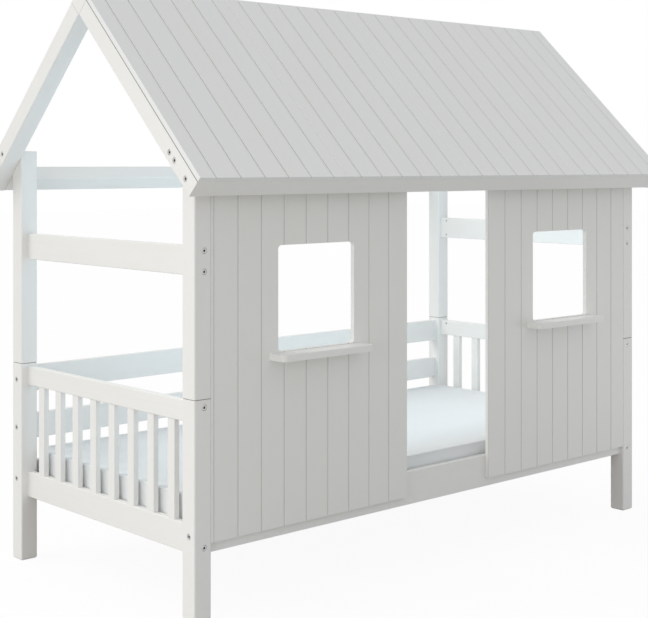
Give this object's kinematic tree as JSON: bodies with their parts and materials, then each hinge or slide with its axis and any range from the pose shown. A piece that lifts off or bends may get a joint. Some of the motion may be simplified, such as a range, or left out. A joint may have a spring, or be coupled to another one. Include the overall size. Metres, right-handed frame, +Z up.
{
  "type": "house frame bed",
  "caption": "Low children's bed in a house-shaped frame: slatted ends, back guard rails, grooved front wall with windows, sills and doorway, half-boarded pitched roof.",
  "frame": {"origin": "floor level, under the middle of the rectangle that the four posts stand on", "axes": "+X along the bed, from its left end to its right end as seen from in front of the wall; +Y from the wall to the back guard rails; +Z up"},
  "size_m": [2.22, 1.2259, 1.8823],
  "materials": {
    "white_lacquer": "white satin lacquer on wood",
    "bare_wood": "bare planed wood",
    "zinc_steel": "zinc-plated steel",
    "mattress_cover": "white knitted cotton cover over foam"
  },
  "bodies": {
    "root": {"barrel_nuts": "zinc_steel", "bed_slats": "bare_wood", "cleat_post_screws": "zinc_steel", "eaves_beam_back": "white_lacquer", "eaves_beam_front": "white_lacquer", "end_bars_left": "white_lacquer", "end_bars_right": "white_lacquer", "end_bottom_rail_left": "white_lacquer", "end_bottom_rail_right": "white_lacquer", "end_top_rail_left": "white_lacquer", "end_top_rail_right": "white_lacquer", "end_upper_rail_left": "white_lacquer", "end_upper_rail_right": "white_lacquer", "frame_bolts": "zinc_steel", "guard_rail_middle": "white_lacquer", "guard_rail_top": "white_lacquer", "insert_nuts": "zinc_steel", "ledge_screws": "zinc_steel", "lower_post_back_left": "white_lacquer", "lower_post_back_right": "white_lacquer", "lower_post_front_left": "white_lacquer", "lower_post_front_right": "white_lacquer", "mattress": "mattress_cover", "post_joint_dowels": "bare_wood", "rafter_back_left": "white_lacquer", "rafter_back_right": "white_lacquer", "rafter_front_left": "white_lacquer", "rafter_front_right": "white_lacquer", "rail_dowels": "bare_wood", "ridge_beam": "white_lacquer", "roof_bolts": "zinc_steel", "roof_sheet_1": "white_lacquer", "roof_sheet_2": "white_lacquer", "roof_sheet_3": "white_lacquer", "roof_sheet_4": "white_lacquer", "roof_sheet_screws": "zinc_steel", "side_rail_back": "white_lacquer", "side_rail_front": "white_lacquer", "sill_fixing_screws": "zinc_steel", "slat_ledge_back": "bare_wood", "slat_ledge_front": "bare_wood", "slat_screws": "zinc_steel", "upper_post_back_left": "white_lacquer", "upper_post_back_right": "white_lacquer", "upper_post_front_left": "white_lacquer", "upper_post_front_right": "white_lacquer", "wall_batten_screws": "zinc_steel", "wall_cleat_left": "white_lacquer", "wall_cleat_right": "white_lacquer", "wall_rail_screws": "zinc_steel", "wall_sheet_left": "white_lacquer", "wall_sheet_right": "white_lacquer", "wall_top_batten": "white_lacquer", "window_sill_left": "white_lacquer", "window_sill_right": "white_lacquer"}
  },
  "joints": []
}
